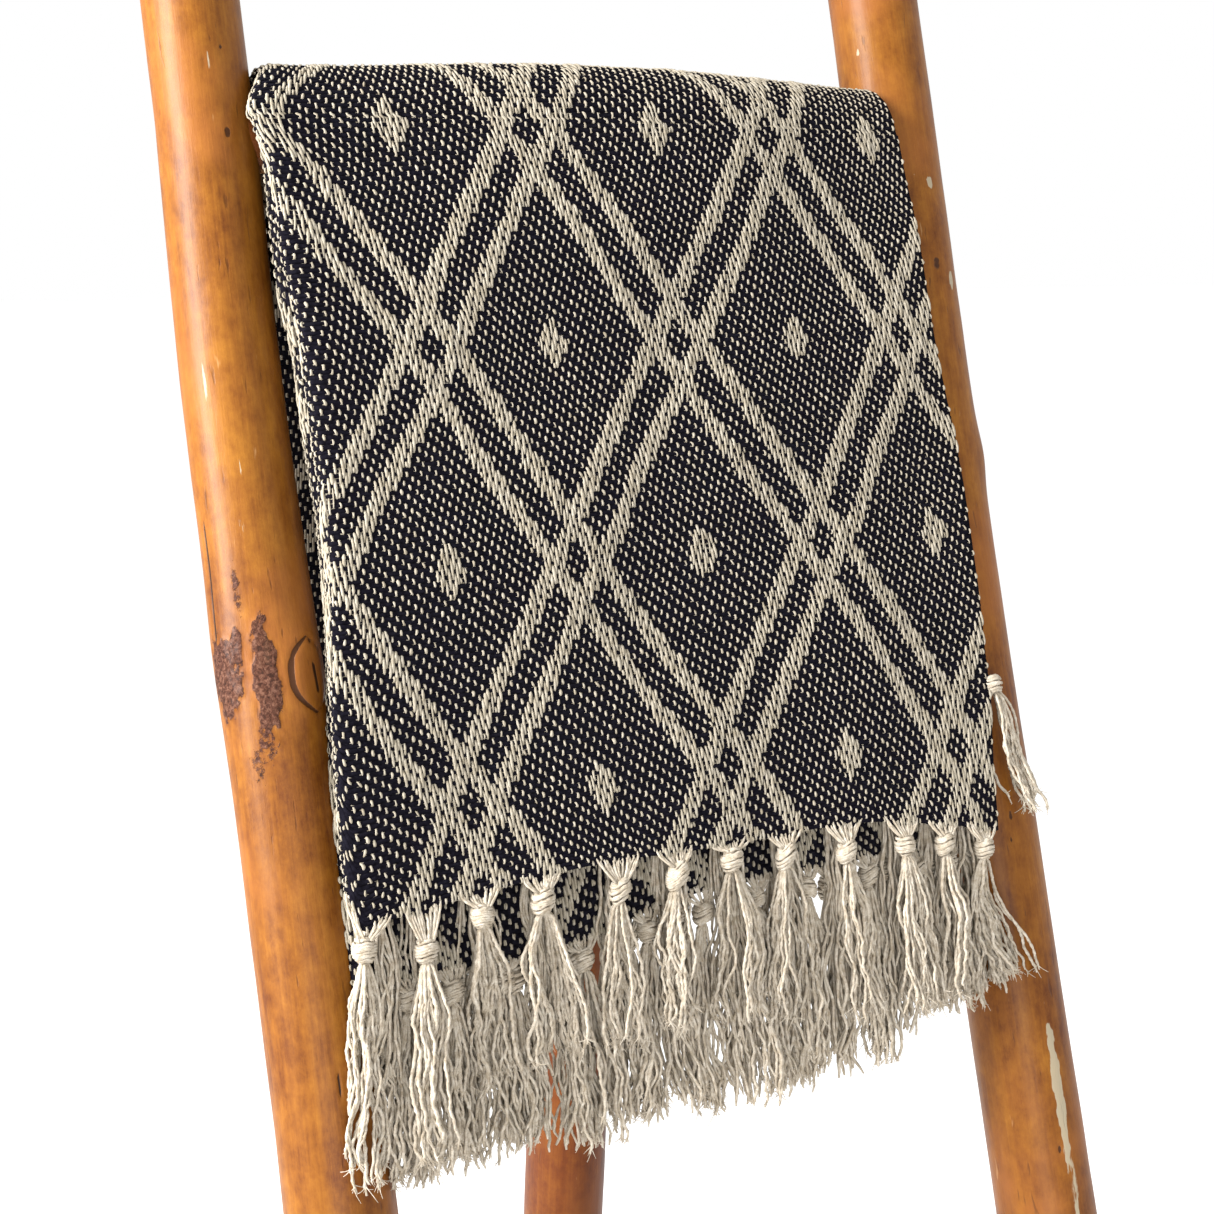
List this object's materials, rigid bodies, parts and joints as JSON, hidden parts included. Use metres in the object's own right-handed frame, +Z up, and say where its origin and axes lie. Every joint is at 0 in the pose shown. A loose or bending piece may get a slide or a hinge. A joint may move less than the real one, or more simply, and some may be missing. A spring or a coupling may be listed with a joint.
{
  "type": "throw on a pole rack",
  "caption": "Folded woven throw with knotted tassels, hung over the top rung of a leaning pole rack that stands on two stiles and a folding rear leg.",
  "frame": {"origin": "on the floor under the middle of the whole object's box", "axes": "+X along the rungs to the right as seen from the front, +Y to the back, +Z up"},
  "size_m": [0.4548, 0.5578, 1.4816],
  "materials": {
    "stile_wood": "varnished peeled branch, orange brown, semi-gloss",
    "leg_wood": "varnished peeled branch, darker red brown, semi-gloss",
    "rung_wood": "varnished round bar, red brown, satin",
    "peg_wood": "bare dowel, matt",
    "throw_cloth": "woven cotton, near-black weft on cream warp in a double-line diamond trellis",
    "tassel_yarn": "undyed cotton yarn, knotted"
  },
  "bodies": {
    "rack": {"left_stile": "stile_wood", "leg_stop_peg": "peg_wood", "right_stile": "stile_wood", "rung_1": "rung_wood", "rung_1_left_peg": "peg_wood", "rung_1_right_peg": "peg_wood", "rung_2": "rung_wood", "rung_2_left_peg": "peg_wood", "rung_2_right_peg": "peg_wood", "rung_3": "rung_wood", "rung_3_left_peg": "peg_wood", "rung_3_right_peg": "peg_wood", "rung_4": "rung_wood", "rung_4_left_peg": "peg_wood", "rung_4_right_peg": "peg_wood"},
    "rear_leg": {"rear_leg": "leg_wood"},
    "throw": {"front_tassel_01": "tassel_yarn", "front_tassel_02": "tassel_yarn", "front_tassel_03": "tassel_yarn", "front_tassel_04": "tassel_yarn", "front_tassel_05": "tassel_yarn", "front_tassel_06": "tassel_yarn", "front_tassel_07": "tassel_yarn", "front_tassel_08": "tassel_yarn", "front_tassel_09": "tassel_yarn", "front_tassel_10": "tassel_yarn", "front_tassel_11": "tassel_yarn", "front_tassel_12": "tassel_yarn", "rear_tassel_01": "tassel_yarn", "rear_tassel_02": "tassel_yarn", "rear_tassel_03": "tassel_yarn", "rear_tassel_04": "tassel_yarn", "rear_tassel_05": "tassel_yarn", "rear_tassel_06": "tassel_yarn", "rear_tassel_07": "tassel_yarn", "rear_tassel_08": "tassel_yarn", "rear_tassel_09": "tassel_yarn", "rear_tassel_10": "tassel_yarn", "rear_tassel_11": "tassel_yarn", "throw": "throw_cloth"}
  },
  "joints": [
    {"name": "leg_fold", "type": "hinge", "parent": "rack", "child": "rear_leg", "pos_m": [0.0124, 0.13641, 1.28348], "axis": [-1, 0, 0], "range_deg": [0, 14.5]},
    {"name": "throw_lift", "type": "slide", "parent": "rack", "child": "throw", "axis": [0, 0, 1], "range_m": [0, 0.5]}
  ]
}
